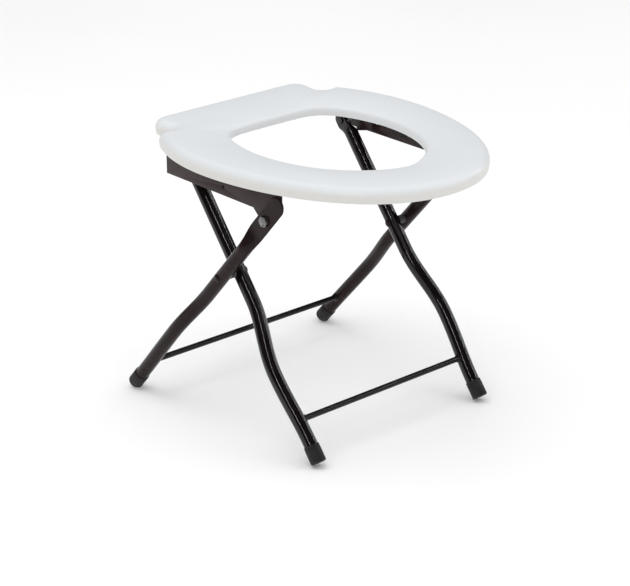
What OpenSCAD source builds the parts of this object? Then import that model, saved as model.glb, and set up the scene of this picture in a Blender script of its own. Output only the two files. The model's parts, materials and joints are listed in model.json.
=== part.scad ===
// Folding commode stool: a moulded seat ring on two crossed tubular leg frames.
// Frame: origin on the floor under the middle of the seat, +X to the front
// (the seat's nose), +Y to the sitter's left, +Z up. Millimetres.

/* [Seat] */
// Length of the seat, nose to rear edge
seat_len = 447.4; // [444:0.2:452]
// Width of the seat at its widest
seat_w = 381; // [374:1:395]
// Height of the seat's top above the floor
seat_h = 380; // [379:0.5:383]
// Depth of the seat moulding
seat_t = 20.4; // [19.6:0.2:22]
// Wall thickness of the seat moulding
seat_wall = 3.2; // [2.6:0.1:3.6]
// Radius of the seat's outer top edge
edge_r = 12; // [10:0.5:12.5]
// Width of the hole
hole_w = 223.6; // [214:0.2:226]

/* [Legs] */
// Outside diameter of the leg tubes
tube_d = 19; // [18.6:0.1:19.2]
// Wall thickness of the leg tubes
tube_wall = 1.2; // [1:0.1:1.5]
// Lean of the front legs from upright, in degrees
front_lean = 38.25; // [38:0.05:38.5]
// Lean of the rear legs from upright, in degrees
rear_lean = 41.36; // [41.2:0.01:41.5]
// Diameter of the crossbars
bar_d = 8; // [7:0.5:9]
// Height of the front crossbar above the floor
front_bar_z = 53; // [48:0.5:60]
// Height of the rear crossbar above the floor
rear_bar_z = 50.5; // [48:0.5:60]

/* [Foot caps] */
// Outside diameter of a foot cap
cap_d = 21.2; // [21:0.1:23]
// Length of a foot cap
cap_len = 24.5; // [22:0.5:30]
// Thickness of a foot cap's sole
cap_sole = 3; // [2:0.5:4]

/* [Rails] */
// Sheet thickness of the rails
rail_t = 2; // [1.8:0.1:2.2]
// Height of a rail
rail_h = 32.2; // [31:0.1:33]

/* [Hardware] */
// Diameter of the pivot bolts
bolt_d = 8; // [7:0.5:8]
// Diameter of the crossing rivets
rivet_d = 6; // [5:0.5:7]
// Diameter of the latch pins
latch_d = 8; // [7:0.5:8]

/* [Hidden] */
$fn = 48;
hull_fn = 32;
fit = 0.05;             // radial running fit of a pin in its hole
gap = 0.2;              // side clearance between pieces that turn on each other

frame_black = "#2b2627";
rubber_black = "#1c1b1b";
seat_white = "#e4e7ea";
zinc = "#9a9a9c";
nylon = "#3a3a3c";

function bezier(a, b, c, d, t) =
    pow(1 - t, 3) * a + 3 * pow(1 - t, 2) * t * b + 3 * (1 - t) * t * t * c + pow(t, 3) * d;
function polar(r, a) = [r * cos(a), r * sin(a)];
function arc(c, r, a, b, n) = [for (i = [0:n]) c + polar(r, a + (b - a) * i / n)];
function unit(v) = v / norm(v);
function mix(a, b, f) = a + (b - a) * f;
// where the line from q touches the circle c, r; side is +1 or -1
function tangent(q, c, r, side) = let (d = c - q)
    q + polar(sqrt(d * d - r * r), atan2(d[1], d[0]) + side * asin(r / norm(d)));

// ---- seat outline, left half from the nose to the middle of the rear edge ----
nose_x = seat_len / 2;
rear_x = -seat_len / 2;
half_w = seat_w / 2;
wide_x = -41.8;         // where the seat is widest
nose_pull = 132;        // how bluntly the nose is rounded
side_pull = 113;        // how straight the front sides are
rear_semi = 225.5;      // long semi-axis of the ellipse behind the widest point
shoulder_x = -162.8;    // where that ellipse ends in the shoulder
shoulder_r = 11;
shoulder_end = 190;     // direction in which the shoulder's arc ends
notch_r = 10.5;
notch_y = 129.5;        // half width at the bottom of the notch
tab_r = 24.4;           // corner radius of the rear tab
tab_rise = 9.3;         // slope of the tab's side where it leaves the notch
n_front = 20;           // outline steps from the nose to the widest point
n_side = 9;             // from there to the shoulder
n_arc = 6;              // on the shoulder, the notch and the tab's corner, each
n_rear = 6;             // from the corner to the middle of the rear edge

side_end = acos((shoulder_x - wide_x) / rear_semi);
side_pt = [shoulder_x, half_w * sin(side_end)];
side_normal = unit([half_w * cos(side_end), rear_semi * sin(side_end)]);
shoulder_start = atan2(side_normal[1], side_normal[0]);
shoulder_c = side_pt - shoulder_r * side_normal;
shoulder_pt = shoulder_c + polar(shoulder_r, shoulder_end);
notch_start = shoulder_end + 180;
notch_end = 270 - tab_rise;
notch_drop = shoulder_pt[1] - notch_y - notch_r - notch_r * sin(notch_start);
notch_c = [shoulder_pt[0] - notch_drop / tan(shoulder_end + 90) - notch_r * cos(notch_start),
           notch_y + notch_r];
notch_out = notch_c + polar(notch_r, notch_end);
tab_start = 90 - tab_rise;
tab_x = rear_x + tab_r;
tab_in_x = tab_x + tab_r * cos(tab_start);
tab_c = [tab_x, notch_out[1] + (notch_out[0] - tab_in_x) * tan(tab_rise) - tab_r * sin(tab_start)];

outer_half = concat(
    [for (i = [0:n_front - 1]) bezier([nose_x, 0], [nose_x, nose_pull],
        [wide_x + side_pull, half_w], [wide_x, half_w], i / n_front)],
    [for (i = [0:n_side - 1]) let (a = mix(90, side_end, i / n_side))
        [wide_x + rear_semi * cos(a), half_w * sin(a)]],
    arc(shoulder_c, shoulder_r, shoulder_start, shoulder_end, n_arc),
    arc(notch_c, notch_r, notch_start, notch_end, n_arc),
    arc(tab_c, tab_r, tab_start, 180, n_arc),
    [for (i = [1:n_rear]) [rear_x, mix(tab_c[1], 0, i / n_rear)]]);
n_half = len(outer_half) - 1;

// ---- hole outline, with as many points as the seat's own ----
hole_front_x = 141.4;
hole_rear_x = -123.3;
hole_wide_x = -21.6;
hole_nose_pull = 15.6;
hole_side_pull = 133;
hole_rear_p = 1.4;      // exponents of the hole's rear half
hole_rear_q = 5.9;
hole_half_w = hole_w / 2;
n_back = n_half - n_front;
hole_half = concat(
    [for (i = [0:n_front - 1]) bezier([hole_front_x, 0], [hole_front_x, hole_nose_pull],
        [hole_wide_x + hole_side_pull, hole_half_w], [hole_wide_x, hole_half_w], i / n_front)],
    [for (i = [0:n_back]) let (a = 90 * pow(1 - i / n_back, hole_rear_q / 2))
        [hole_wide_x + (hole_rear_x - hole_wide_x) * pow(cos(a), 2 / hole_rear_p),
         hole_half_w * pow(sin(a), 2 / hole_rear_q)]]);

function closed(half) = concat(half, [for (i = [n_half - 1:-1:1]) [half[i][0], -half[i][1]]]);
outer = closed(outer_half);
hole = closed(hole_half);
n_ring = len(outer);
// unit normal at a point of a closed outline, to the outside of the outline
function normal(p, i) = let (n = len(p), d = p[(i + 1) % n] - p[(i + n - 1) % n])
    unit([d[1], -d[0]]);

// ---- seat section, from the outer bottom edge over the crown to the hole ----
seat_bottom = seat_h - seat_t;
crown_edge_z = seat_h - 0.85;       // where the outer rounding meets the crown
crown_hole_z = seat_h - 3.65;       // where the crown meets the hole's rounding
crown_lift = 2;                     // bulge of the crown above the straight line
edge_turn = 85;                     // angle through which the outer edge is rounded
hole_turn = 10;                     // slope of the crown where it meets the hole's rounding
hole_edge_r = 5;
hole_bottom_z = seat_h - 16.4;
draft = 0.8;
n_round = 4;                        // steps over the outer rounding
n_crown = 3;                        // points on the crown
function crown_z(f) = mix(crown_edge_z, crown_hole_z, f) + crown_lift * 4 * f * (1 - f);

wall_top = crown_edge_z - edge_r * sin(edge_turn);

function section(i) =
    let (o = outer[i], h = hole[i], out = normal(outer, i), in = -normal(hole, i),
         edge = edge_r * (1 - cos(edge_turn)), rim = hole_edge_r * (1 - sin(hole_turn)),
         rim_z = crown_hole_z - hole_edge_r * cos(hole_turn),
         e = o - out * edge, g = h - in * rim,
         ei = o - out * (edge_r + 0.5), gi = h - in * (hole_edge_r + 0.5))
    concat(
        [[each o - out * draft, seat_bottom]],
        [for (k = [0:n_round]) let (a = edge_turn * k / n_round)
            [each o - out * edge_r * (1 - cos(a)), wall_top + edge_r * sin(a)]],
        [for (k = [1:n_crown]) let (f = k / (n_crown + 1)) [each mix(e, g, f), crown_z(f)]],
        [for (k = [0:2]) let (a = mix(hole_turn, 90, k / 2))
            [each h - in * hole_edge_r * (1 - sin(a)), rim_z + hole_edge_r * cos(a)]],
        [[each h, hole_bottom_z], [each h - in * seat_wall, hole_bottom_z],
         [each h - in * seat_wall, rim_z],
         [each gi, crown_hole_z - seat_wall],
         [each mix(ei, gi, 0.5), crown_z(0.5) - seat_wall],
         [each ei, crown_edge_z - seat_wall],
         [each o - out * (seat_wall + 2), wall_top + edge_r * 0.5],
         [each o - out * seat_wall, wall_top - 1],
         [each o - out * (seat_wall + draft), seat_bottom]]);

module ring_shell() {
    n_sec = len(section(0));
    function at(i, k) = (i % n_ring) * n_sec + k % n_sec;
    polyhedron(
        points = [for (i = [0:n_ring - 1]) each section(i)],
        faces = [for (i = [0:n_ring - 1]) for (k = [0:n_sec - 1])
            each [[at(i, k), at(i, k + 1), at(i + 1, k + 1)],
                  [at(i, k), at(i + 1, k + 1), at(i + 1, k)]]]);
}

// ---- rails, screws and the seat's bosses ----
rail_y = 160.4;         // middle of the stool to a rail's outer face
rail_rear = -148.2;
rail_front = 82;
flange_in = 126;
flange_front = 66.3;
rail_bend = 3;
screw_x = [-104, -30, 44];
screw_y = 134;
screw_r = 2.1;
screw_len = 12;
head_r = 4.2;
head_h = 2.6;
recess_w = 4.6;         // cross recess in a screw's head
recess_t = 1;
recess_deep = 1.4;
boss_r = 5.5;
boss_h = 17;
boss_depth = 13.5;
rib_t = 2;
rib_index = [2, 7, 12, 17, 22, 27, 36, 44, 50];

module rib(i) {
    o = outer[i] - normal(outer, i) * seat_wall / 2;
    h = hole[i] + normal(hole, i) * seat_wall / 2;
    span = norm(o - h);
    slope = atan2(o[1] - h[1], o[0] - h[0]);
    low = seat_bottom + 3;
    translate([h[0], h[1], 0]) rotate([0, 0, slope]) rotate([90, 0, 0])
        linear_extrude(rib_t, center = true)
            polygon([[0, low], [0, crown_hole_z - hole_edge_r], [edge_r / 2, crown_hole_z - seat_wall / 2],
                     [span / 2, crown_z(0.5) - seat_wall / 2],
                     [span - edge_r, crown_edge_z - seat_wall / 2],
                     [span, crown_edge_z - edge_r], [span, low]]);
}

module seat_ring() {
    color(seat_white) difference() {
        union() {
            ring_shell();
            for (i = rib_index) {
                rib(i);
                rib(n_ring - i);
            }
            for (x = screw_x, side = [-1, 1])
                translate([x, side * screw_y, seat_bottom]) cylinder(r = boss_r, h = boss_h);
        }
        for (x = screw_x, side = [-1, 1])
            translate([x, side * screw_y, seat_bottom - 1])
                cylinder(r = screw_r + fit, h = boss_depth + 1, $fn = hull_fn);
    }
}

// ---- the two leg frames ----
cap_r = cap_d / 2;
cap_round = 2;
tube_r = tube_d / 2;
front_foot_x = 138.9;
rear_foot_x = -214.8;
// height of the middle of a foot cap's end when its edge stands on the floor
function foot_z(lean) = (cap_r - cap_round) * sin(lean) + cap_round * (1 - cos(lean));
front_z = foot_z(front_lean);
rear_z = foot_z(rear_lean);
// middle of the stool to a leg's axis: at the foot, below the inward step and above it
front_y = [148.3, 154.5, 137.9];
rear_y = [174.4, 177.3, 166.5];
front_step_z = [105, 186];      // heights between which a leg steps inwards
rear_step_z = [116, 185];
rear_flat_w = 26;       // pressed flat top of a leg
front_flat_w = 20;
flat_t = 3.4;
rear_flat_dx = -3.2;    // offset of the rear leg's flat, and of the pivot, from the tube's axis
rear_flat_y = 163.1;    // middle of the rear leg's flat
front_flat_y = front_y[2] - tube_r + flat_t / 2;
pivot_s = 411.8;        // distances along a leg from the end of its foot cap
rear_end_s = pivot_s + 31.3;
latch_s = 430;
rear_press = [350, 388];        // from where the tube starts to flatten to where it is flat
front_press = [408, 424];

// where the two legs cross, and where the seat and the latch are
cross_z = (front_foot_x - rear_foot_x + front_z * tan(front_lean) + rear_z * tan(rear_lean))
        / (tan(front_lean) + tan(rear_lean));
cross_x = front_foot_x - (cross_z - front_z) * tan(front_lean);
pivot_x = rear_foot_x + pivot_s * sin(rear_lean) + rear_flat_dx * cos(rear_lean);
pivot_z = rear_z + pivot_s * cos(rear_lean) - rear_flat_dx * sin(rear_lean);
latch_x = front_foot_x - latch_s * sin(front_lean);
latch_z = front_z + latch_s * cos(front_lean);
pivot = [pivot_x, pivot_z];
latch = [latch_x, latch_z];
echo(pivot = pivot, cross = [cross_x, cross_z], latch = latch, front_z = front_z, rear_z = rear_z);

// puts a left piece in place, or its mirror image on the right
module sided(side) {
    if (side > 0) children();
    else mirror([0, 1, 0]) children();
}
// frame of a leg: origin in the foot cap's end, +Z up the leg; y is still the stool's
module on_leg(foot_x, z, lean) {
    translate([foot_x, 0, z]) rotate([0, lean, 0]) children();
}
module on_front_leg() { on_leg(front_foot_x, front_z, -front_lean) children(); }
module on_rear_leg() { on_leg(rear_foot_x, rear_z, rear_lean) children(); }
// a round piece across the stool, from y0 to y1
module across(x, z, y0, y1, r, sides = $fn) {
    translate([x, y1, z]) rotate([90, 0, 0]) cylinder(r = r, h = y1 - y0, $fn = sides);
}

// ---- leg tube: rings of points swept up the leg, in the leg's own frame ----
n_tube = 24;            // points in a ring
n_low = 4;              // steps from the foot cap to the inward step
n_bend = 9;             // steps in the inward step
n_press = 6;            // rings where the tube goes flat
n_end = 5;              // rings in the flat's round end
flat_edge = 30;         // ring angle at which the flat's face turns into its edge

// one point of a ring; f goes from 0, round, to 1, flat
function ring_point(a, f, half, thin, wide) =
    [mix(half, wide, f) * cos(a),
     mix(half * sin(a), thin * max(-1, min(1, sin(a) / sin(flat_edge))), f)];
// a ring across the leg: [s, y, lean of the axis, f, x offset, half width], inset by wall
function ring(k, wall) = [for (j = [0:n_tube - 1])
    let (p = ring_point(360 * j / n_tube, k[3], tube_r - wall, flat_t / 2 - wall * 0.9,
                        k[5] - wall))
    [k[4] + p[0], k[1] + p[1] * cos(k[2]), k[0] - p[1] * sin(k[2])]];

module leg_tube(lean, z, y, step_z, press, flat_dx, flat_y, flat_w, end_s) {
    wide = flat_w / 2;
    step0 = (step_z[0] - z) / cos(lean);
    rise = (step_z[1] - z) / cos(lean) - step0;
    spread = y[1] - y[0];
    step = y[1] - y[2];
    foot = [for (i = [0:n_low]) let (u = i / n_low)
        [mix(cap_len, step0, u), y[0] + spread * (1 - cos(180 * u)) / 2,
         atan(spread * PI / 2 / (step0 - cap_len) * sin(180 * u)), 0, 0, wide]];
    bend = [for (i = [1:n_bend]) let (u = i / n_bend)
        [step0 + rise * u, y[1] - step * (1 - cos(180 * u)) / 2,
         -atan(step * PI / 2 / rise * sin(180 * u)), 0, 0, wide]];
    low = concat([[cap_sole, y[0], 0, 0, 0, wide]], foot, bend);
    taper = [for (i = [0:n_press]) let (u = i / n_press, f = (1 - cos(180 * u)) / 2)
        [mix(press[0], press[1], u), mix(y[2], flat_y, f), 0, f, flat_dx * f, wide]];
    end = [for (i = [0:n_end]) let (a = 84 * i / n_end)
        [end_s + wide * sin(a), flat_y, 0, 1, flat_dx, wide * cos(a)]];
    hollow = [for (k = concat(low, [for (i = [0:2]) taper[i]])) ring(k, tube_wall)];
    skin = [for (k = concat(low, taper, end)) ring(k, 0)];
    rings = concat([for (i = [len(hollow) - 1:-1:0]) hollow[i]], skin);
    n = len(rings);
    function at(i, j) = i * n_tube + j % n_tube;
    polyhedron(
        points = [for (r = rings) each r],
        faces = concat(
            [[for (j = [0:n_tube - 1]) at(0, j)], [for (j = [n_tube - 1:-1:0]) at(n - 1, j)]],
            [for (i = [0:n - 2]) for (j = [0:n_tube - 1])
                each [[at(i, j), at(i + 1, j), at(i + 1, j + 1)],
                      [at(i, j), at(i + 1, j + 1), at(i, j + 1)]]]));
}

bar_into = 5;           // how far a crossbar's end passes the leg's axis
// height along a leg of a point at height z above the floor
function along(z, z0, lean) = (z - z0) / cos(lean);
module rear_leg(side) {
    low = along(rear_bar_z, rear_z, rear_lean);
    middle = along(cross_z, rear_z, rear_lean);
    color(frame_black) sided(side) on_rear_leg() difference() {
        leg_tube(rear_lean, rear_z, rear_y, rear_step_z, rear_press,
                 rear_flat_dx, rear_flat_y, rear_flat_w, rear_end_s);
        across(0, low, rear_y[0] - tube_d, rear_bar_end, bar_d / 2 + fit);
        across(0, middle, rear_y[2] - tube_d, rear_y[2] + tube_d, rivet_d / 2 + fit);
        across(rear_flat_dx, pivot_s, rear_flat_y - flat_t, rear_flat_y + flat_t, bolt_d / 2 + fit);
    }
}
module front_leg(side) {
    low = along(front_bar_z, front_z, front_lean);
    middle = along(cross_z, front_z, front_lean);
    color(frame_black) sided(side) on_front_leg() difference() {
        leg_tube(front_lean, front_z, front_y, front_step_z, front_press,
                 0, front_flat_y, front_flat_w, latch_s);
        across(0, low, front_y[0] - tube_d, front_bar_end, bar_d / 2 + fit);
        across(0, middle, front_y[2] - tube_d, front_y[2] + tube_d, rivet_d / 2 + fit);
        across(0, latch_s, front_flat_y - flat_t, front_flat_y + flat_t, latch_d / 2 + fit);
    }
}
module crossbar(x, z, end) {
    color(frame_black) across(x, z, -end, end, bar_d / 2);
}
rear_bar_end = rear_y[0] + bar_into;
front_bar_end = front_y[0] + bar_into;
module rear_crossbar() {
    crossbar(rear_foot_x + (rear_bar_z - rear_z) * tan(rear_lean), rear_bar_z, rear_bar_end);
}
module front_crossbar() {
    crossbar(front_foot_x - (front_bar_z - front_z) * tan(front_lean), front_bar_z, front_bar_end);
}

module foot_cap(y) {
    lip = 1;
    color(rubber_black) translate([0, y, 0]) rotate_extrude()
        polygon(concat([[0, 0]],
            arc([cap_r - cap_round, cap_round], cap_round, -90, 0, 6),
            arc([cap_r - lip, cap_len - lip], lip, 0, 90, 4),
            [[tube_r + fit, cap_len], [tube_r + fit, cap_sole], [0, cap_sole]]));
}
module rear_foot_cap(side) { sided(side) on_rear_leg() foot_cap(rear_y[0]); }
module front_foot_cap(side) { sided(side) on_front_leg() foot_cap(front_y[0]); }

// ---- rails and latch hooks ----
ear_r = 11;
ear_rear = pivot_x - 27;                // where the ear leaves the rail's lower edge
ear_front_z = pivot_z + 21;             // where it leaves the rail's front end
rail_hole = [-30.8, 339];
rail_hole_r = 2.5;
plug_flange_r = 4;
plug_flange_t = 1;
plug_sink = 0.8;
hook_y = front_y[2] + tube_r + 0.8;    // inner face of a hook plate
hook_t = 2.5;
hook_edge = [[-84, 334.5], [-112, 327.6], [-132, 327.6], [-142, 335]];    // lower edge, front to rear
slot_lean = 22;                         // how far the slot leans forward, from upright
slot_open = 3.5;                        // how much the slot opens out towards its mouth

// a flat plate in the XZ plane, from y0 outwards
module plate(y0, t) {
    translate([0, y0 + t, 0]) rotate([90, 0, 0]) linear_extrude(t) children();
}

module rail(side) {
    web_low = seat_bottom - rail_h;
    web_in = rail_y - rail_t;
    color(frame_black) sided(side) difference() {
        union() {
            translate([rail_rear, 0, 0]) rotate([90, 0, 90]) linear_extrude(flange_front - rail_rear)
                polygon(concat(
                    arc([rail_y - rail_bend, seat_bottom - rail_bend], rail_bend, 0, 90, 6),
                    [[flange_in, seat_bottom], [flange_in, seat_bottom - rail_t]],
                    arc([rail_y - rail_bend, seat_bottom - rail_bend], rail_bend - rail_t, 90, 0, 4),
                    [[web_in, web_low], [rail_y, web_low]]));
            plate(web_in, rail_t) polygon([
                [flange_front - 1, seat_bottom - rail_bend], [rail_front, seat_bottom - rail_bend],
                [rail_front, ear_front_z],
                tangent([rail_front, ear_front_z], pivot, ear_r, 1), pivot,
                tangent([ear_rear, web_low], pivot, ear_r, -1), [ear_rear, web_low],
                [ear_rear, web_low + 1], [flange_front - 1, web_low + 1]]);
            across(pivot_x, pivot_z, web_in, rail_y, ear_r, 64);
        }
        across(pivot_x, pivot_z, web_in - 1, rail_y + 1, bolt_d / 2 + fit);
        across(rail_hole[0], rail_hole[1], web_in - 1, rail_y + 1, rail_hole_r);
        for (x = screw_x)
            translate([x, screw_y, seat_bottom - rail_t - 1])
                cylinder(r = screw_r + fit, h = rail_t + 2);
    }
}

module latch_hook(side) {
    lean = polar(1, -90 + slot_lean);
    slope = polar(1, slot_lean);
    slot_r = latch_d / 2 + 0.4;
    depth = (latch_z - hook_edge[1][1]) / cos(slot_lean) + 6;
    top = seat_bottom - rail_t;
    color(frame_black) sided(side) difference() {
        plate(hook_y, hook_t)
            polygon(concat([[hook_edge[3][0], top], [hook_edge[0][0], top]], hook_edge));
        across(latch_x, latch_z, hook_y - 1, hook_y + hook_t + 1, slot_r);
        plate(hook_y - 1, hook_t + 2) polygon([
            latch + slope * slot_r, latch - slope * slot_r,
            latch + lean * depth - slope * slot_r,
            latch + lean * depth + slope * (slot_r + slot_open)]);
    }
}

// a plug pushed into the rail's side hole from inside, a little short of the outer face
module rail_plug(side) {
    back = rail_y - rail_t - plug_flange_t;
    color(nylon) sided(side) {
        across(rail_hole[0], rail_hole[1], back, back + plug_flange_t, plug_flange_r);
        across(rail_hole[0], rail_hole[1], back, rail_y - plug_sink, rail_hole_r - fit);
    }
}

// ---- fasteners ----
module rail_screws(side) {
    color(zinc) sided(side) for (x = screw_x)
        translate([x, screw_y, seat_bottom - rail_t]) difference() {
            union() {
                cylinder(r = screw_r, h = screw_len + rail_t, $fn = hull_fn);
                translate([0, 0, -head_h]) cylinder(r = head_r, h = head_h);
            }
            for (turn = [0, 90])
                rotate([0, 0, turn]) translate([-recess_w / 2, -recess_t / 2, -head_h - 1])
                    cube([recess_w, recess_t, recess_deep + 1]);
        }
}

head_af = 13;           // across the flats of the bolt's head and nut
bolt_head_h = 4;
nut_h = 5.5;
washer_t = 1.2;
washer_r = 8;
web_in_y = rail_y - rail_t;
spacer_t = rear_flat_y - flat_t / 2 - rail_y - 2 * gap;
hex_bevel = 0.8;
module pivot_head(y0) {
    r = head_af / sqrt(3);
    translate([pivot_x, y0 + bolt_head_h, pivot_z]) rotate([90, 0, 0]) intersection() {
        cylinder(r = r, h = bolt_head_h, $fn = 6);
        cylinder(r1 = r - hex_bevel, r2 = r - hex_bevel + 2 * bolt_head_h, h = bolt_head_h);
    }
}
module pivot_bolt(side) {
    face = rear_flat_y + flat_t / 2;
    end = web_in_y - gap - washer_t - nut_h - 2;
    color(zinc) sided(side) {
        across(pivot_x, pivot_z, end, face + 1, bolt_d / 2);
        pivot_head(face);
    }
}
module pivot_nut(side) {
    y1 = web_in_y - gap - washer_t;
    color(zinc) sided(side) difference() {
        translate([pivot_x, y1, pivot_z]) rotate([90, 0, 0])
            cylinder(r = head_af / sqrt(3), h = nut_h, $fn = 6);
        across(pivot_x, pivot_z, y1 - nut_h - 1, y1 + 1, bolt_d / 2 + fit);
    }
}
module pivot_ring(y0, t, r, bore) {
    difference() {
        across(pivot_x, pivot_z, y0, y0 + t, r);
        across(pivot_x, pivot_z, y0 - 1, y0 + t + 1, bore);
    }
}
module pivot_washer(side) {
    color(zinc) sided(side) pivot_ring(web_in_y - gap - washer_t, washer_t, washer_r, bolt_d / 2 + fit);
}
module pivot_spacer(side) {
    color(nylon) sided(side) pivot_ring(rail_y + gap, spacer_t, washer_r, bolt_d / 2 + fit);
}

rivet_head_r = 5.5;
rivet_head_h = 2;
cross_spacer_r = 6;
module rivet_head(y, out) {
    // low dome: a cap of a sphere, cut off by the plane of the tube's face
    dome_r = (rivet_head_r * rivet_head_r + rivet_head_h * rivet_head_h) / (2 * rivet_head_h);
    translate([cross_x, y, cross_z]) rotate([-90 * out, 0, 0]) rotate_extrude()
        polygon(concat([[0, 0]], arc([0, rivet_head_h - dome_r], dome_r,
            90 - asin(rivet_head_r / dome_r), 90, 6)));
}
module cross_rivet(side) {
    y0 = front_y[2] - tube_r;
    y1 = rear_y[2] + tube_r;
    color(frame_black) sided(side) {
        across(cross_x, cross_z, y0, y1, rivet_d / 2);
        rivet_head(y1, 1);
        rivet_head(y0, -1);
    }
}
module cross_spacer(side) {
    y0 = front_y[2] + tube_r;
    y1 = rear_y[2] - tube_r;
    color(nylon) sided(side) difference() {
        across(cross_x, cross_z, y0, y1, cross_spacer_r);
        across(cross_x, cross_z, y0 - 1, y1 + 1, rivet_d / 2 + fit);
    }
}
module latch_pin(side) {
    in = front_flat_y - flat_t / 2;
    out = hook_y + hook_t + 0.5;
    collar = 2;
    color(frame_black) sided(side) {
        across(latch_x, latch_z, in - collar, out + collar, latch_d / 2);
        across(latch_x, latch_z, in - collar, in, 6);
        across(latch_x, latch_z, out, out + collar, 6);
    }
}

seat_ring();
rail(-1);  // right_rail
rail(1);  // left_rail
latch_hook(-1);  // right_latch_hook
latch_hook(1);  // left_latch_hook
rail_screws(-1);  // right_rail_screws
rail_screws(1);  // left_rail_screws
rail_plug(-1);  // right_rail_plug
rail_plug(1);  // left_rail_plug
rear_leg(-1);  // right_rear_leg
rear_leg(1);  // left_rear_leg
rear_crossbar();
rear_foot_cap(-1);  // right_rear_foot_cap
rear_foot_cap(1);  // left_rear_foot_cap
front_leg(-1);  // right_front_leg
front_leg(1);  // left_front_leg
front_crossbar();
front_foot_cap(-1);  // right_front_foot_cap
front_foot_cap(1);  // left_front_foot_cap
latch_pin(-1);  // right_latch_pin
latch_pin(1);  // left_latch_pin
pivot_bolt(-1);  // right_pivot_bolt
pivot_bolt(1);  // left_pivot_bolt
pivot_nut(-1);  // right_pivot_nut
pivot_nut(1);  // left_pivot_nut
pivot_washer(-1);  // right_pivot_washer
pivot_washer(1);  // left_pivot_washer
pivot_spacer(-1);  // right_pivot_spacer
pivot_spacer(1);  // left_pivot_spacer
cross_rivet(-1);  // right_cross_rivet
cross_rivet(1);  // left_cross_rivet
cross_spacer(-1);  // right_cross_spacer
cross_spacer(1);  // left_cross_spacer
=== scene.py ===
"""Looks of the folding commode stool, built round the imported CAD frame. Blender 4.5.

Lengths in the shape formulas are millimetres of the CAD frame; MM turns them into metres.
"""

import json
import math

import bmesh
import bpy
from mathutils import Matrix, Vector

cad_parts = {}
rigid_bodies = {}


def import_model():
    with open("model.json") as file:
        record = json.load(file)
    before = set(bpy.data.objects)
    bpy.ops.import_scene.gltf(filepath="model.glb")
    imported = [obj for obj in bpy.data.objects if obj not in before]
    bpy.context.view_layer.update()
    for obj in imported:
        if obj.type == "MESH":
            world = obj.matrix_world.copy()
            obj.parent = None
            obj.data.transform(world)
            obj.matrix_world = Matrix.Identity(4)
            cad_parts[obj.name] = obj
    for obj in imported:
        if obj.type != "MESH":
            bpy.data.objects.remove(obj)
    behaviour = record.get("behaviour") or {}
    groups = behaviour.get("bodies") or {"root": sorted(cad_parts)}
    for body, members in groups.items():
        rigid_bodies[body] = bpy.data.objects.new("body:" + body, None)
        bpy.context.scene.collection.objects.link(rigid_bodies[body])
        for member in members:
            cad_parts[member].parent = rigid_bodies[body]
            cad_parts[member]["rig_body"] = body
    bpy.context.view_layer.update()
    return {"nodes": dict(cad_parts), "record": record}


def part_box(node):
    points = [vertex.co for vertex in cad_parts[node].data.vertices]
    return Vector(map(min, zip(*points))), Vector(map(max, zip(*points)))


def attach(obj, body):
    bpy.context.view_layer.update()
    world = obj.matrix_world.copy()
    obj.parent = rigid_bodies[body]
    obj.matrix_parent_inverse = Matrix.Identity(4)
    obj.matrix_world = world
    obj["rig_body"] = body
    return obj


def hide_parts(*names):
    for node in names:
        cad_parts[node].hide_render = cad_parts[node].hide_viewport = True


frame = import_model()
nodes = frame["nodes"]

MM = 0.001
SIDES = {"right": -1, "left": 1}
SLOTS = {s["node"]: s["material_slot"] for s in frame["record"]["subparts"]}
CRISP = 34.0                   # degrees; edges that turn more than this are shaded crisp

seat_low, seat_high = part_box("seat_ring")
NOSE_X = seat_high.x / MM
REAR_X = seat_low.x / MM
HALF_W = seat_high.y / MM
SEAT_TOP = seat_high.z / MM + 0.05
SEAT_BOTTOM = seat_low.z / MM


# ---------------------------------------------------------------- materials

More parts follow.
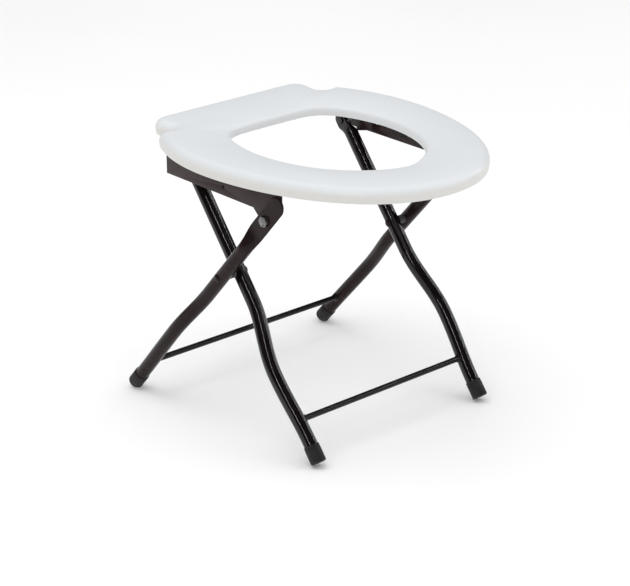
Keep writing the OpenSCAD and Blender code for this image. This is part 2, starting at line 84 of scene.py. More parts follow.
class Look:
    """A procedural material: the principled shader and the few nodes that vary it."""

    def __init__(self, name, **constants):
        self.mat = bpy.data.materials.new(name)
        self.mat.use_nodes = True
        self.tree = self.mat.node_tree
        self.shader = self.tree.nodes["Principled BSDF"]
        for socket, value in constants.items():
            self.shader.inputs[socket.replace("_", " ")].default_value = value
        self.place = self.tree.nodes.new("ShaderNodeTexCoord").outputs["Object"]

    def put(self, value, socket):
        if isinstance(value, bpy.types.NodeSocket):
            self.tree.links.new(value, socket)
        else:
            socket.default_value = value

    def mapped(self, scale=(1, 1, 1), lean=0.0):
        """Object coordinates turned by lean about Y, then scaled."""
        n = self.tree.nodes.new("ShaderNodeMapping")
        self.put(self.place, n.inputs["Vector"])
        n.inputs["Rotation"].default_value = (0, lean, 0)
        n.inputs["Scale"].default_value = scale
        return n.outputs["Vector"]

    def noise(self, scale, detail=2.0, rough=0.5, place=None, warp=0.0):
        n = self.tree.nodes.new("ShaderNodeTexNoise")
        self.put(self.place if place is None else place, n.inputs["Vector"])
        n.inputs["Scale"].default_value = scale
        n.inputs["Detail"].default_value = detail
        n.inputs["Roughness"].default_value = rough
        n.inputs["Distortion"].default_value = warp
        return n.outputs["Fac"]

    def height(self):
        n = self.tree.nodes.new("ShaderNodeSeparateXYZ")
        self.put(self.place, n.inputs[0])
        return n.outputs["Z"]

    def reach(self, half_x, half_y):
        """Distance from the vertical axis in units of an ellipse with these half axes."""
        n = self.tree.nodes.new("ShaderNodeVectorMath")
        n.operation = "LENGTH"
        self.put(self.mapped((1 / half_x, 1 / half_y, 0)), n.inputs[0])
        return n.outputs["Value"]

    def span(self, value, low, high, to_low=0.0, to_high=1.0):
        n = self.tree.nodes.new("ShaderNodeMapRange")
        n.interpolation_type = "SMOOTHSTEP"
        self.put(value, n.inputs["Value"])
        for name, v in (("From Min", low), ("From Max", high),
                        ("To Min", to_low), ("To Max", to_high)):
            n.inputs[name].default_value = v
        return n.outputs["Result"]

    def math(self, op, a, b):
        n = self.tree.nodes.new("ShaderNodeMath")
        n.operation = op
        self.put(a, n.inputs[0])
        self.put(b, n.inputs[1])
        return n.outputs[0]

    def mix(self, factor, a, b):
        n = self.tree.nodes.new("ShaderNodeMix")
        n.data_type = "RGBA"
        self.put(factor, n.inputs["Factor"])
        for value, socket in ((a, n.inputs[6]), (b, n.inputs[7])):
            self.put(value if isinstance(value, bpy.types.NodeSocket) else (*value, 1), socket)
        return n.outputs[2]

    def bump(self, value, depth, strength=1.0, under=None):
        n = self.tree.nodes.new("ShaderNodeBump")
        n.inputs["Strength"].default_value = strength
        n.inputs["Distance"].default_value = depth
        self.put(value, n.inputs["Height"])
        if under is not None:
            self.put(under, n.inputs["Normal"])
        return n.outputs["Normal"]

    def finish(self, colour, rough, normal):
        self.put(colour if isinstance(colour, bpy.types.NodeSocket) else (*colour, 1),
                 self.shader.inputs["Base Color"])
        self.put(rough, self.shader.inputs["Roughness"])
        self.put(normal, self.shader.inputs["Normal"])
        return self.mat


def seat_look():
    """Satin moulded plastic, cool white on top, with faint flow marks; painted shade darkens the
    walls and painted floor bounce warms the outer wall.
    """
    k = Look("seat_plastic_moulded", IOR=1.46, Specular_IOR_Level=0.3, Coat_Weight=0.04,
             Coat_Roughness=0.2)
    cloudy = k.span(k.noise(7, 2, 0.5), 0.2, 0.8)
    # tones of the top, the outer wall and the hole's wall: the walls are darker as painted shade,
    # and the outer wall is warmer as painted floor bounce
    top = k.mix(cloudy, (0.690, 0.712, 0.730), (0.706, 0.727, 0.745))
    wall = k.mix(cloudy, (0.675, 0.665, 0.638), (0.695, 0.685, 0.658))
    hole_wall_shade = k.mix(cloudy, (0.665, 0.675, 0.68), (0.68, 0.69, 0.695))
    # masks by reach and by height that lay the painted shade and bounce on the walls below the
    # top
    outer_bounce_mask = k.span(k.reach(seat_high.x, seat_high.y), 0.7, 0.8)
    painted_light_by_height = k.span(k.height(), (SEAT_TOP - 13.5) * MM, (SEAT_TOP - 3.5) * MM)
    colour = k.mix(painted_light_by_height, k.mix(outer_bounce_mask, hole_wall_shade, wall), top)
    grain = k.span(k.noise(1100, 3, 0.6), 0.3, 0.7)
    colour = k.mix(k.math("MULTIPLY", grain, 0.03), colour, (0.60, 0.59, 0.57))
    rough = k.math("ADD", k.span(k.noise(26, 2, 0.5), 0.3, 0.7, 0.34, 0.38),
                   k.span(k.noise(900, 2, 0.5), 0.45, 0.7, 0.0, 0.04))
    wave = k.bump(k.noise(18, 1, 0.4), 0.0006, 0.12)
    peel = k.bump(k.noise(850, 2, 0.5), 0.00004, 0.2, wave)
    return k.finish(colour, rough, peel)


def paint_look(name, lean, deep, light, gloss, shine, peel_depth=0.00006):
    """Black paint on steel: orange peel, scratches along the lean, small chips."""
    k = Look(name, IOR=1.5, Coat_Weight=0.1, Coat_Roughness=0.06, Specular_IOR_Level=shine)
    along = k.mapped((900, 900, 14), lean)
    scratch = k.span(k.noise(1, 3, 0.5, along, 0.3), 0.69, 0.75)
    worn = k.span(k.noise(95, 4, 0.65, warp=0.5), 0.80, 0.83)
    colour = k.mix(k.span(k.noise(40, 4, 0.6), 0.3, 0.7), deep, light)
    colour = k.mix(k.math("MULTIPLY", scratch, 0.25), colour, (0.12, 0.11, 0.105))
    colour = k.mix(worn, colour, (0.17, 0.155, 0.145))
    rough = k.math("ADD", k.span(k.noise(55, 3, 0.6), 0.3, 0.7, gloss, gloss + 0.07),
                   k.math("MULTIPLY", worn, 0.25))
    peel = k.bump(k.noise(620, 2, 0.5), peel_depth, 0.3)
    return k.finish(colour, rough, k.bump(worn, -0.00008, 0.6, peel))


def rubber_look():
    """Moulded rubber: fine grain, slightly uneven, with a greyer dusty sole."""
    k = Look("foot_rubber_moulded", IOR=1.48, Specular_IOR_Level=0.35)
    dust = k.math("MULTIPLY", k.span(k.height(), 0.0, 0.014, 1.0, 0.0),
                  k.span(k.noise(180, 5, 0.7), 0.35, 0.65))
    colour = k.mix(k.span(k.noise(60, 4, 0.6), 0.3, 0.7), (0.010, 0.0092, 0.0098),
                   (0.018, 0.0165, 0.0175))
    colour = k.mix(k.math("MULTIPLY", dust, 0.6), colour, (0.11, 0.10, 0.092))
    rough = k.span(k.noise(140, 3, 0.6), 0.3, 0.7, 0.5, 0.68)
    grain = k.bump(k.noise(1500, 3, 0.6), 0.00008, 0.5)
    return k.finish(colour, rough, k.bump(k.noise(120, 3, 0.6), 0.0002, 0.25, grain))


def zinc_look(name, tone, turned):
    """Dull plated steel with fine tool marks and a few darker stains."""
    k = Look(name, Metallic=0.9, IOR=1.5)
    stain = k.span(k.noise(210, 4, 0.65, warp=0.4), 0.5, 0.68)
    colour = k.mix(stain, tone, tuple(c * 0.45 for c in tone))
    rough = k.math("ADD", k.span(k.noise(520, 3, 0.6), 0.3, 0.7, 0.3, 0.46),
                   k.math("MULTIPLY", stain, 0.18))
    marks = k.noise(1, 2, 0.5, k.mapped((2600, 260, 2600) if turned else (700, 700, 2600)))
    return k.finish(colour, rough, k.bump(marks, 0.00005, 0.35))


def matt_grain_look(name, deep, light):
    """Moulded nylon, matt, with a fine grain; also gives the near-black painted shade that fills
    the rail's holes.
    """
    k = Look(name, IOR=1.53, Specular_IOR_Level=0.3)
    colour = k.mix(k.span(k.noise(160, 3, 0.6), 0.3, 0.7), deep, light)
    rough = k.span(k.noise(300, 3, 0.6), 0.3, 0.7, 0.45, 0.6)
    return k.finish(colour, rough, k.bump(k.noise(1200, 2, 0.5), 0.00005, 0.4))


FRONT_LEAN = math.radians(38.25)
REAR_LEAN = math.radians(41.36)
# the darkest and the lightest shade of each paint; the rear legs' and the rails' paints are
# lighter copies of the front legs' black, as painted light
FRONT_PAINT = ((0.0038, 0.0022, 0.0024), (0.0066, 0.0042, 0.0045))
REAR_PAINT_LIT = ((0.0125, 0.0062, 0.0066), (0.0190, 0.0098, 0.0104))
RAIL_PAINT_LIT = ((0.030, 0.0165, 0.0172), (0.038, 0.0215, 0.0222))
SEAT_LOOK = seat_look()
FRONT_LOOK = paint_look("black_steel_front_leg", FRONT_LEAN, *FRONT_PAINT, 0.06, 0.4)
REAR_LOOK = paint_look("black_steel_rear_leg", -REAR_LEAN, *REAR_PAINT_LIT, 0.22, 0.09)
RAIL_LOOK = paint_look("black_steel_sheet", math.pi / 2, *RAIL_PAINT_LIT, 0.30, 0.12)
BAR_LOOK = paint_look("black_steel_bar", 0.0, *FRONT_PAINT, 0.16, 0.24, 0.00001)
RUBBER_LOOK = rubber_look()
ZINC_LOOK = zinc_look("zinc_hardware_turned", (0.40, 0.40, 0.405), True)
BOLT_LOOK = zinc_look("zinc_hardware_forged", (0.26, 0.255, 0.255), False)
NYLON_LOOK = matt_grain_look("nylon_moulded", (0.035, 0.035, 0.038), (0.055, 0.055, 0.06))
# near-black plug filling each rail's hole: painted shade for the dark depth of the hole
HOLE_SHADE_LOOK = matt_grain_look("hole_shade_black", (0.0012, 0.0011, 0.0011), (0.002, 0.0018, 0.0018))


# ---------------------------------------------------------------- mesh helpers

def piece(name, body, slot, look, mesh, replaced, angle=CRISP):
    """Makes the object of a finished mesh and gives it its body and look; slot is not used."""
    obj = bpy.data.objects.new(name, mesh)
    bpy.context.scene.collection.objects.link(obj)
    mesh.materials.clear()
    mesh.materials.append(look)
    for p in mesh.polygons:
        p.use_smooth = True
    mesh.set_sharp_from_angle(angle=math.radians(angle))
    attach(obj, body)
    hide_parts(*replaced)


def to_mesh(name, bm):
    """Turns the faces outwards and frees the bmesh."""
    bmesh.ops.recalc_face_normals(bm, faces=bm.faces)
    mesh = bpy.data.meshes.new(name)
    bm.to_mesh(mesh)
    bm.free()
    return mesh


def add_loops(bm, rings, close_loop=False, caps=False):
    """Joins rings of points, in millimetres, into a skin of quads."""
    made = [[bm.verts.new([c * MM for c in p]) for p in ring] for ring in rings]
    n = len(made[0])
    rows = len(made) if close_loop else len(made) - 1
    for i in range(rows):
        a, b = made[i], made[(i + 1) % len(made)]
        for j in range(n):
            bm.faces.new((a[j], a[(j + 1) % n], b[(j + 1) % n], b[j]))
    if caps:
        bm.faces.new(list(reversed(made[0])))
        bm.faces.new(made[-1])


def lathe(bm, profile, place, steps=72, wobble=None):
    """Turns a profile of (radius, distance along the axis); place maps (x, y, s) to mm."""
    rings = []
    for i, (r, s) in enumerate(profile):
        ring = []
        for j in range(steps):
            a = 2 * math.pi * j / steps
            k = wobble(i, a) if wobble else 1.0
            ring.append(place(r * k * math.cos(a), r * k * math.sin(a), s))
        rings.append(ring)
    add_loops(bm, rings, caps=True)


def refined(node, look, edge, angle):
    """The CAD node's own shape with its edges broken by a small rounding."""
    bm = bmesh.new()
    bm.from_mesh(nodes[node].data)
    bmesh.ops.remove_doubles(bm, verts=bm.verts, dist=2e-6)
    bmesh.ops.dissolve_limit(bm, angle_limit=math.radians(0.4), verts=bm.verts, edges=bm.edges)
    sharp = [e for e in bm.edges if len(e.link_faces) == 2
             and e.calc_face_angle(0) > math.radians(angle)]
    if sharp:
        bmesh.ops.bevel(bm, geom=sharp, offset=edge * MM, offset_type="OFFSET", segments=2,
                        profile=0.6, affect="EDGES", clamp_overlap=True)
    mesh = to_mesh(node + "_finished", bm)
    piece(node + "_finished", nodes[node]["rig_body"], SLOTS[node], look, mesh, [node])


# ---------------------------------------------------------------- the seat

def bezier(a, b, c, d, t):
    """The point at t of the cubic from a to d with handles b and c."""
    return tuple((1 - t) ** 3 * a[i] + 3 * (1 - t) ** 2 * t * b[i]
                 + 3 * (1 - t) * t * t * c[i] + t ** 3 * d[i] for i in range(2))


def arc(c, r, a, b, n):
    """n steps round c from angle a to angle b, in degrees."""
    out = []
    for i in range(n + 1):
        t = math.radians(a + (b - a) * i / n)
        out.append((c[0] + r * math.cos(t), c[1] + r * math.sin(t)))
    return out


def mix(a, b, f):
    return a + (b - a) * f


def ease(u):
    """A soft start and end between 0 and 1."""
    return (1 - math.cos(math.pi * u)) / 2


FINE = 3                       # outline steps for each step of the CAD outline
N_FRONT, N_SIDE, N_ARC, N_REAR = 20 * FINE, 9 * FINE, 7 * FINE - 1, 6 * FINE


def seat_outline():
    """Left half of the seat's outline: nose, side, shoulder, notch, tab corner, rear edge."""
    wide_x, nose_pull, side_pull, semi = -41.8, 132.0, 113.0, 225.5
    shoulder_x, shoulder_r, shoulder_end = -162.8, 11.0, 190.0
    notch_r, notch_y, tab_r, rise = 10.5, 129.5, 24.4, 9.3
    end = math.acos((shoulder_x - wide_x) / semi)
    side = (shoulder_x, HALF_W * math.sin(end))
    n = Vector((HALF_W * math.cos(end), semi * math.sin(end))).normalized()
    c1 = (side[0] - shoulder_r * n.x, side[1] - shoulder_r * n.y)
    start = math.degrees(math.atan2(n.y, n.x))
    s_end = math.radians(shoulder_end)
    pt = (c1[0] + shoulder_r * math.cos(s_end), c1[1] + shoulder_r * math.sin(s_end))
    n_start = shoulder_end + 180
    drop = pt[1] - notch_y - notch_r - notch_r * math.sin(math.radians(n_start))
    c2 = (pt[0] - drop / math.tan(math.radians(shoulder_end + 90))
          - notch_r * math.cos(math.radians(n_start)), notch_y + notch_r)
    out = (c2[0] + notch_r * math.cos(math.radians(270 - rise)),
           c2[1] + notch_r * math.sin(math.radians(270 - rise)))
    t_start = math.radians(90 - rise)
    tab_x = REAR_X + tab_r
    c3 = (tab_x, out[1] + (out[0] - tab_x - tab_r * math.cos(t_start))
          * math.tan(math.radians(rise)) - tab_r * math.sin(t_start))
    return ([bezier((NOSE_X, 0), (NOSE_X, nose_pull), (wide_x + side_pull, HALF_W),
                    (wide_x, HALF_W), i / N_FRONT) for i in range(N_FRONT)]
            + [(wide_x + semi * math.cos(mix(math.pi / 2, end, i / N_SIDE)),
                HALF_W * math.sin(mix(math.pi / 2, end, i / N_SIDE))) for i in range(N_SIDE)]
            + arc(c1, shoulder_r, start, shoulder_end, N_ARC)
            + arc(c2, notch_r, n_start, 270 - rise, N_ARC)
            + arc(c3, tab_r, 90 - rise, 180, N_ARC)
            + [(REAR_X, mix(c3[1], 0, i / N_REAR)) for i in range(1, N_REAR + 1)])


def hole_outline(n_half):
    """Left half of the hole's outline: a pointed front and a squared rear."""
    front, rear, wide_x, half = 141.4, -123.3, -21.6, 111.8
    nose_pull, side_pull, p, q = 15.6, 133.0, 1.4, 5.9
    n_back = n_half - N_FRONT
    out = [bezier((front, 0), (front, nose_pull), (wide_x + side_pull, half),
                  (wide_x, half), i / N_FRONT) for i in range(N_FRONT)]
    for i in range(n_back + 1):
        a = math.pi / 2 * (1 - i / n_back) ** (q / 2)
        out.append((wide_x + (rear - wide_x) * max(0.0, math.cos(a)) ** (2 / p),
                    half * max(0.0, math.sin(a)) ** (2 / q)))
    return out


def closed(half):
    """The whole loop of a left half that starts and ends on the middle line."""
    return half + [(x, -y) for x, y in reversed(half[1:-1])]


def normals(loop):
    """Outward unit normals of a loop that runs anticlockwise."""
    out = []
    n = len(loop)
    for i in range(n):
        d = Vector(loop[(i + 1) % n]) - Vector(loop[i - 1])
        out.append(Vector((d.y, -d.x)).normalized())
    return out


half_outline = seat_outline()
OUTER = closed(half_outline)
HOLE = closed(hole_outline(len(half_outline) - 1))
OUT_N, HOLE_N = normals(OUTER), normals(HOLE)
CROWN_EDGE_Z, CROWN_HOLE_Z, CROWN_LIFT = SEAT_TOP - 0.85, SEAT_TOP - 3.65, 1.94
EDGE_R, EDGE_TURN, HOLE_R, HOLE_TURN = 12.0, math.radians(85), 5.0, math.radians(10)
HOLE_BOTTOM = SEAT_TOP - 16.4
WALL, DRAFT, LIP = 3.2, 0.8, 0.7
RIBS_AT = (2, 7, 12, 17, 22, 27, 36, 44, 50)     # steps of the CAD outline from the nose
BOSS_X, BOSS_Y, BOSS_R, BORE_R, BORE_DEPTH = (-104, -30, 44), 134, 5.5, 2.15, 13.5
WALL_TOP = CROWN_EDGE_Z - EDGE_R * math.sin(EDGE_TURN)


def crown(f):
    """Height of the seat's top at f of the way from the outer edge to the hole."""
    return mix(CROWN_EDGE_Z, CROWN_HOLE_Z, f) + CROWN_LIFT * 4 * f * (1 - f)


def seat_section(i):
    """Points of the wall section at outline point i, from the outer foot round to the inside."""
    o, h = Vector(OUTER[i]), Vector(HOLE[i])
    on, hn = OUT_N[i], -HOLE_N[i]
    edge = EDGE_R * (1 - math.cos(EDGE_TURN))
    rim = HOLE_R * (1 - math.sin(HOLE_TURN))
    rim_z = CROWN_HOLE_Z - HOLE_R * math.cos(HOLE_TURN)
    e, g = o - on * edge, h - hn * rim
    ei, gi = o - on * (EDGE_R + 0.5), h - hn * (HOLE_R + 0.5)

    def at(p, z):
        return (p.x, p.y, z)

    pts = []
    for k in range(5):                       # rounded foot of the outer wall
        a = math.pi / 2 * k / 4
        pts.append(at(o - on * (DRAFT + LIP * (1 - math.sin(a))),
                      SEAT_BOTTOM + LIP * (1 - math.cos(a))))
    for k in range(15):                      # wall and its rounding into the crown
        a = EDGE_TURN * k / 14
        pts.append(at(o - on * EDGE_R * (1 - math.cos(a)), WALL_TOP + EDGE_R * math.sin(a)))
    for k in range(1, 18):                   # the crown between edge and hole
        f = k / 18
        pts.append(at(e.lerp(g, f), crown(f)))
    for k in range(9):                       # rounding into the hole
        a = mix(HOLE_TURN, math.pi / 2, k / 8)
        pts.append(at(h - hn * HOLE_R * (1 - math.sin(a)), rim_z + HOLE_R * math.cos(a)))
    for k in range(5):                       # rounded foot of the hole's wall
        a = math.pi / 2 * k / 4
        pts.append(at(h - hn * LIP * (1 - math.cos(a)), HOLE_BOTTOM + LIP * (1 - math.sin(a))))
    # back along the inside, from the hole's foot to the outer one
    pts.append(at(h - hn * WALL, HOLE_BOTTOM))
    pts.append(at(h - hn * WALL, rim_z))
    pts.append(at(gi, CROWN_HOLE_Z - WALL))
    for f in (0.75, 0.5, 0.25):
        pts.append(at(ei.lerp(gi, f), crown(f) - WALL))
    pts.append(at(ei, CROWN_EDGE_Z - WALL))
    pts.append(at(o - on * (WALL + 2), WALL_TOP + EDGE_R * 0.5))
    pts.append(at(o - on * WALL, WALL_TOP - 1))
    pts.append(at(o - on * (WALL + DRAFT), SEAT_BOTTOM))
    return pts


def add_rib(bm, i):
    """A thin moulded rib across the hollow underside, with a rounded lower edge."""
    o = Vector(OUTER[i]) - OUT_N[i] * WALL / 2
    h = Vector(HOLE[i]) + HOLE_N[i] * WALL / 2
    d = (o - h).normalized()
    span = (o - h).length
    low = SEAT_BOTTOM + 3
    line = [(0, low), (0, CROWN_HOLE_Z - HOLE_R), (EDGE_R / 2, CROWN_HOLE_Z - WALL / 2),
            (span / 2, crown(0.5) - WALL / 2), (span - EDGE_R, CROWN_EDGE_Z - WALL / 2),
            (span, CROWN_EDGE_Z - EDGE_R), (span, low)]
    across = Vector((-d.y, d.x))
    rings = []
    for t, sink in ((-1.0, 0.35), (-0.7, 0.0), (0.7, 0.0), (1.0, 0.35)):
        rings.append([(h.x + d.x * u + across.x * t, h.y + d.y * u + across.y * t,
                       z + (sink if z == low else 0.0)) for u, z in line])
    add_loops(bm, rings, caps=True)


def make_seat():
    """The moulding: its skin, the ribs under it and the six screw bosses."""
    bm = bmesh.new()
    add_loops(bm, [seat_section(i) for i in range(len(OUTER))], close_loop=True)
    for step in RIBS_AT:
        add_rib(bm, step * FINE)
        add_rib(bm, len(OUTER) - step * FINE)
    foot = SEAT_BOTTOM
    profile = [(0.01, foot + BORE_DEPTH), (BORE_R, foot + BORE_DEPTH), (BORE_R, foot + 0.4),
               (BORE_R + 0.5, foot), (BOSS_R - 0.5, foot), (BOSS_R, foot + 0.5),
               (BOSS_R, foot + 15), (BOSS_R + 1.2, foot + 17.5)]
    for x in BOSS_X:
        for side in SIDES.values():
            lathe(bm, profile, lambda a, b, s, x=x, y=side * BOSS_Y: (x + a, y + b, s), 40)
    piece("seat_moulding", "seat", "seat_plastic", SEAT_LOOK,
          to_mesh("seat_moulding", bm), ["seat_ring"], 40)


make_seat()


# ---------------------------------------------------------------- the legs

TUBE_R, CAP_R, CAP_LEN, CAP_SOLE, CAP_ROUND = 9.5, 10.6, 24.5, 3.0, 2.0
FLAT_HALF_T = 1.7
N_TUBE = 64


def foot_z(lean):
    """Height of the end of a leg's axis when its leaning cap just rests on the floor."""
    return (CAP_R - CAP_ROUND) * math.sin(lean) + CAP_ROUND * (1 - math.cos(lean))


class Leg:
    """The numbers of a front or rear leg; y values are half distances across the stool."""

    def __init__(self, foot_x, lean, tilt, y, step_z, press, flat_dx, flat_y, end_s, half_w):
        self.foot_x, self.lean, self.tilt, self.y = foot_x, lean, tilt, y
        self.z = foot_z(lean)
        self.step = [(h - self.z) / math.cos(lean) for h in step_z]
        self.press, self.end_s = press, end_s
        self.flat_dx, self.flat_y, self.half_w = flat_dx, flat_y, half_w

    def place(self, side):
        """Maps leg coordinates (x across the lean, y of the stool, s along) to the stool's."""
        c, s = math.cos(self.lean), math.sin(self.lean) * self.tilt
        return lambda x, y, u: (self.foot_x + x * c + u * s, side * y, self.z - x * s + u * c)

    def sway(self, low, high, y_low, y_high, u):
        """A round ring on the soft step of the axis from y_low to y_high, u of the way up."""
        slope = (y_high - y_low) * math.pi / 2 / (high - low) * math.sin(math.pi * u)
        return (mix(low, high, u), mix(y_low, y_high, ease(u)), math.atan(slope), 0, 0,
                self.half_w)

    def rings(self):
        """(s, y, slope of the axis, flatness, x offset, half width) up the leg."""
        y0, y1, y2 = self.y
        low, high = self.step
        wide = self.half_w
        out = [(CAP_SOLE, y0, 0, 0, 0, wide)]
        out += [self.sway(CAP_LEN, low, y0, y1, i / 12) for i in range(13)]
        out += [self.sway(low, high, y1, y2, i / 28) for i in range(1, 29)]
        for i in range(25):                  # from round to pressed flat
            f = ease(i / 24)
            out.append((mix(*self.press, i / 24), mix(y2, self.flat_y, f), 0, f,
                        self.flat_dx * f, wide))
        for i in range(1, 17):               # the round end of the flat
            a = math.radians(86) * i / 16
            out.append((self.end_s + wide * math.sin(a), self.flat_y, 0, 1, self.flat_dx,
                        wide * math.cos(a)))
        return out


def ring_points(ring, place):
    """One ring of a leg's skin, between a circle and a flat with rounded edges."""
    s, y, slope, f, dx, width = ring
    pts = []
    for j in range(N_TUBE):
        a = 2 * math.pi * j / N_TUBE
        press = max(-1.0, min(1.0, math.sin(a) / 0.5))
        p = mix(TUBE_R, width, f) * math.cos(a)
        q = mix(TUBE_R * math.sin(a), FLAT_HALF_T * math.sin(math.pi / 2 * press), f)
        pts.append(place(dx + p, y + q * math.cos(slope), s - q * math.sin(slope)))
    return pts


# half the distance between a pair's axes: at the foot, above the lower bend, at the top
FRONT_Y, REAR_Y = (148.3, 154.5, 137.9), (174.4, 177.3, 166.5)
LEGS = {
    "front": Leg(foot_x=138.9, lean=FRONT_LEAN, tilt=-1, y=FRONT_Y, step_z=(105, 186),
                 press=(408, 424), flat_dx=0, flat_y=FRONT_Y[2] - TUBE_R + FLAT_HALF_T,
                 end_s=430.0, half_w=10.0),
    "rear": Leg(foot_x=-214.8, lean=REAR_LEAN, tilt=1, y=REAR_Y, step_z=(116, 185),
                press=(350, 388), flat_dx=-3.2, flat_y=163.1, end_s=443.1, half_w=13.0)}
LEG_LOOKS = {"front": FRONT_LOOK, "rear": REAR_LOOK}
BODIES = {"front": "front_leg_frame", "rear": "rear_leg_frame"}


def make_leg(end, sidename):
    """Bent tube, round from the cap up and pressed flat at the top."""
    leg, side = LEGS[end], SIDES[sidename]
    bm = bmesh.new()
    place = leg.place(side)
    add_loops(bm, [ring_points(r, place) for r in leg.rings()], caps=True)
    name = f"{sidename}_{end}_leg"
    piece(name + "_tube", BODIES[end], "black_steel", LEG_LOOKS[end],
          to_mesh(name, bm), [name], 50)


def make_cap(end, sidename):
    """Rubber cap: rounded sole edge, two shallow ring grooves and a rolled top lip."""
    leg, side = LEGS[end], SIDES[sidename]
    place = leg.place(side)
    y0 = leg.y[0]
    profile = [(0.01, 0.0)]
    for k in range(9):
        a = math.radians(-90 + 90 * k / 8)
        profile.append((CAP_R - CAP_ROUND + CAP_ROUND * math.cos(a),
                        CAP_ROUND + CAP_ROUND * math.sin(a)))
    profile += [(CAP_R, 4.2), (CAP_R - 0.12, 4.5), (CAP_R - 0.12, 4.9), (CAP_R, 5.2)]
    profile += [(CAP_R, 20.6), (CAP_R - 0.1, 20.9), (CAP_R - 0.35, 21.3),
                (CAP_R - 0.35, 21.9), (CAP_R - 0.1, 22.3), (CAP_R, 22.7)]
    for k in range(7):
        a = math.radians(90 * k / 6)
        profile.append((CAP_R - 0.8 + 0.8 * math.cos(a), CAP_LEN - 0.8 + 0.8 * math.sin(a)))
    profile += [(TUBE_R + 0.15, CAP_LEN - 0.1), (TUBE_R + 0.05, CAP_LEN - 0.8),
                (TUBE_R + 0.05, CAP_SOLE), (0.01, CAP_SOLE)]
    bm = bmesh.new()
    lathe(bm, profile, lambda a, b, s: place(a, y0 + b, s), 96)
    name = f"{sidename}_{end}_foot_cap"
    piece(name + "_moulded", BODIES[end], "foot_rubber", RUBBER_LOOK,
          to_mesh(name, bm), [name], 50)


def make_crossbar(end):
    """Round bar between the legs, with a weld bead where it meets each tube."""
    node = end + "_crossbar"
    low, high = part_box(node)
    x, z = (low.x + high.x) / 2 / MM, (low.z + high.z) / 2 / MM
    reach, r = high.y / MM, (high.x - low.x) / 2 / MM
    bm = bmesh.new()
    steps = 40
    profile = [(r - 0.4, -reach), (r, -reach + 0.4)]
    profile += [(r, mix(-reach + 0.4, reach - 0.4, k / steps)) for k in range(1, steps)]
    profile += [(r, reach - 0.4), (r - 0.4, reach)]
    lathe(bm, profile, lambda a, b, s: (x + a, s, z + b), 48)
    leg = LEGS[end]
    u = ((z - leg.z) / math.cos(leg.lean) - CAP_LEN) / (leg.step[0] - CAP_LEN)
    face = mix(leg.y[0], leg.y[1], ease(u)) - TUBE_R
    for side in SIDES.values():
        bead = [(r - 0.5, -3.4), (r + 0.25, -2.6), (r + 0.9, -1.7), (r + 1.5, -0.7),
                (r + 1.8, 0.3), (r + 1.6, 1.6), (r - 0.5, 2.4)]

        def ripple(i, a, side=side):
            return 1 + 0.05 * math.sin(13 * a + side) * (1 if 0 < i < 6 else 0) \
                + 0.03 * math.sin(5 * a + i)
        lathe(bm, bead, lambda a, b, s, side=side: (x + a, side * (face + s), z + b), 64, ripple)
    piece(node + "_welded", BODIES[end], "black_steel", BAR_LOOK, to_mesh(node, bm), [node], 60)


for end_name in LEGS:
    make_crossbar(end_name)
    for side_name in SIDES:
        make_leg(end_name, side_name)
        make_cap(end_name, side_name)


# ---------------------------------------------------------------- sheet parts and hardware

# the node's name after its side, its look, the rounding of its edges in millimetres, and
# how far an edge turns, in degrees, before it is rounded
# the rail plug's look is near-black painted shade filling the rail's hole
FINISHED = (("rail", RAIL_LOOK, 0.45, 34), ("latch_hook", RAIL_LOOK, 0.4, 34),
            ("rail_screws", ZINC_LOOK, 0.3, 34), ("rail_plug", HOLE_SHADE_LOOK, 0.2, 34),
            ("latch_pin", FRONT_LOOK, 0.5, 34), ("pivot_bolt", BOLT_LOOK, 0.35, 34),
            ("pivot_nut", BOLT_LOOK, 0.5, 34), ("pivot_washer", ZINC_LOOK, 0.2, 34),
            ("pivot_spacer", NYLON_LOOK, 0.3, 34), ("cross_rivet", REAR_LOOK, 0.2, 60),
            ("cross_spacer", NYLON_LOOK, 0.3, 34))

for side_name in SIDES:
    for ending, its_look, rounding, turn in FINISHED:
        refined(f"{side_name}_{ending}", its_look, rounding, turn)


# ---------------------------------------------------------------- studio

def make_floor():
    """A pale sheet just under the feet."""
    half, drop = 14.0, 0.0006
    k = Look("studio_floor", IOR=1.4, Specular_IOR_Level=0.1)
    colour = k.mix(k.span(k.noise(1.3, 2, 0.5), 0.3, 0.7), (0.93, 0.93, 0.93), (0.95, 0.95, 0.95))
    k.finish(colour, 0.7, k.bump(k.noise(40, 2, 0.5), 0.0002, 0.1))
    bm = bmesh.new()
    corners = [bm.verts.new((x * half, y * half, -drop)) for x, y in
               ((-1, -1), (1, -1), (1, 1), (-1, 1))]
    bm.faces.new(corners)
    mesh = bpy.data.meshes.new("studio_floor")
    bm.to_mesh(mesh)
    bm.free()
    mesh.materials.append(k.mat)
    obj = bpy.data.objects.new("studio_floor", mesh)
    bpy.context.scene.collection.objects.link(obj)


def toward(turn, rise):
    """Unit vector at this turn from -Y towards +X and this rise above the floor."""
    return Vector((math.sin(turn) * math.cos(rise), -math.cos(turn) * math.cos(rise),
                   math.sin(rise)))


def area_light(name, at, aim, size, power, gloss_only=False):
    """A softbox that lights surfaces, or a strip that shows only as a highlight."""
    data = bpy.data.lights.new(name, "AREA")
    data.shape = "RECTANGLE"
    data.size, data.size_y = size
    data.energy = power
    obj = bpy.data.objects.new(name, data)
    bpy.context.scene.collection.objects.link(obj)
    obj.location = at
    obj.rotation_euler = (Vector(aim) - Vector(at)).to_track_quat("-Z", "Y").to_euler()
    obj.visible_glossy = gloss_only
    obj.visible_diffuse = not gloss_only


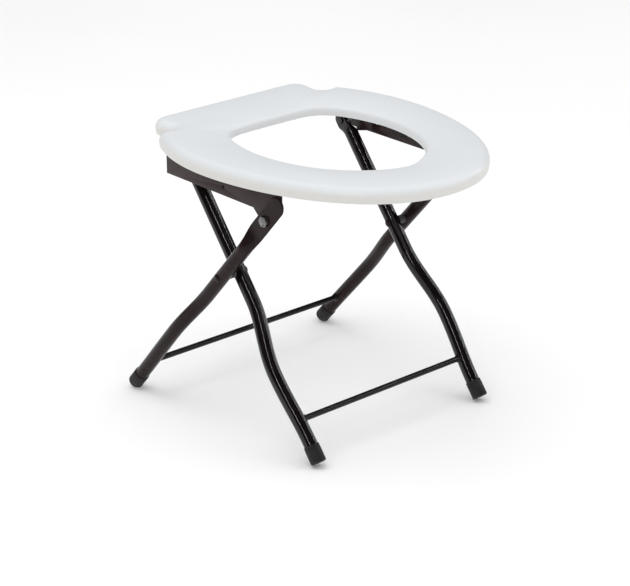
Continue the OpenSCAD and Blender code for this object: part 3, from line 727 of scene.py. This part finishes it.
def make_light():
    """A white tent: bright for the camera and for diffuse light, dim in reflections."""
    world = bpy.data.worlds.new("studio")
    world.use_nodes = True
    tree = world.node_tree
    back = tree.nodes["Background"]
    back.inputs["Color"].default_value = (1, 1, 1, 1)
    path = tree.nodes.new("ShaderNodeLightPath")
    level = tree.nodes.new("ShaderNodeMapRange")
    level.inputs["To Min"].default_value = 0.93
    level.inputs["To Max"].default_value = 0.05
    shown = tree.nodes.new("ShaderNodeMath")
    shown.operation = "MAXIMUM"
    tree.links.new(path.outputs["Is Glossy Ray"], level.inputs["Value"])
    tree.links.new(level.outputs["Result"], shown.inputs[0])
    tree.links.new(path.outputs["Is Camera Ray"], shown.inputs[1])
    tree.links.new(shown.outputs[0], back.inputs["Strength"])
    bpy.context.scene.world = world
    middle = (0.0, 0.0, 0.25)
    area_light("key", (-0.2, -0.5, 2.8), middle, (2.0, 2.0), 19)
    area_light("fill", (1.5, 1.3, 2.3), middle, (1.6, 1.2), 6)
    for name, turn, rise, far, size, power in (
            ("strip_front", 36, 33, 2.7, (0.03, 1.9), 12),
            ("strip_right", 146, 28, 2.6, (0.06, 1.5), 8),
            ("panel_rim", 170, 16, 2.8, (0.25, 1.2), 7),
            ("strip_bars", 128, 24, 2.7, (0.5, 0.14), 3.5),
            ("panel_back", -100, 40, 2.8, (1.2, 0.6), 1)):
        at = toward(math.radians(turn), math.radians(rise)) * far
        area_light(name, at + Vector(middle), middle, size, power, True)


def make_camera():
    """The photograph's viewpoint, found from the stool's own outlines."""
    azimuth, elevation = math.radians(48.3142), math.radians(22.5821)
    target, distance = Vector((0.0422, -0.0691, 0.190)), 2.7107
    back = toward(azimuth, elevation)
    data = bpy.data.cameras.new("camera")
    data.lens, data.sensor_width, data.sensor_fit = 118.7, 36.0, "HORIZONTAL"
    obj = bpy.data.objects.new("camera", data)
    bpy.context.scene.collection.objects.link(obj)
    obj.location = target + back * distance
    obj.rotation_euler = back.to_track_quat("Z", "Y").to_euler()
    bpy.context.scene.camera = obj


make_floor()
make_light()
make_camera()
bpy.context.scene.view_settings.view_transform = "Standard"

bpy.context.view_layer.update()
